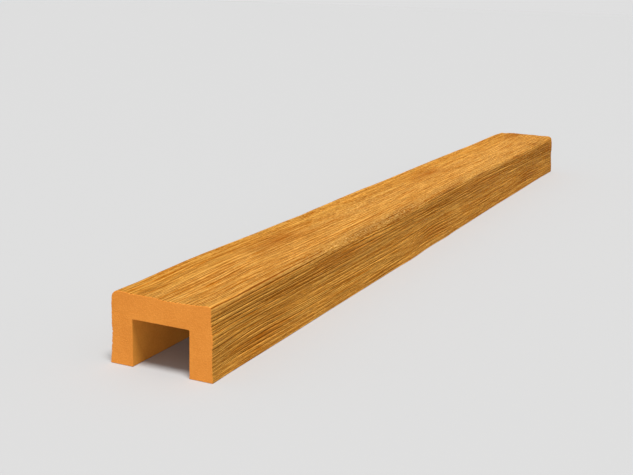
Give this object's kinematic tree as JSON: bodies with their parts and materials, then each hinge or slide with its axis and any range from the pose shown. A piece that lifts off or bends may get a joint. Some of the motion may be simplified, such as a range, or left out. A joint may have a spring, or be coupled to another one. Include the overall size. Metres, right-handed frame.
{
  "type": "faux beam",
  "caption": "Straight U-section decorative beam moulded in rigid foam, rough-sawn timber grain on top and sides, open channel beneath for mounting blocks.",
  "frame": {"origin": "middle of the footprint, on the plane of the two leg edges", "axes": "+X across the beam, +Y along it, +Z from the leg edges up to the grained top"},
  "size_m": [0.152, 1.8, 0.098],
  "materials": {
    "foam_skin": "matte stained rough-sawn grain on top and sides, plain fine-celled foam on the cut ends and in the channel"
  },
  "bodies": {
    "root": {"faux_beam": "foam_skin"}
  },
  "joints": []
}
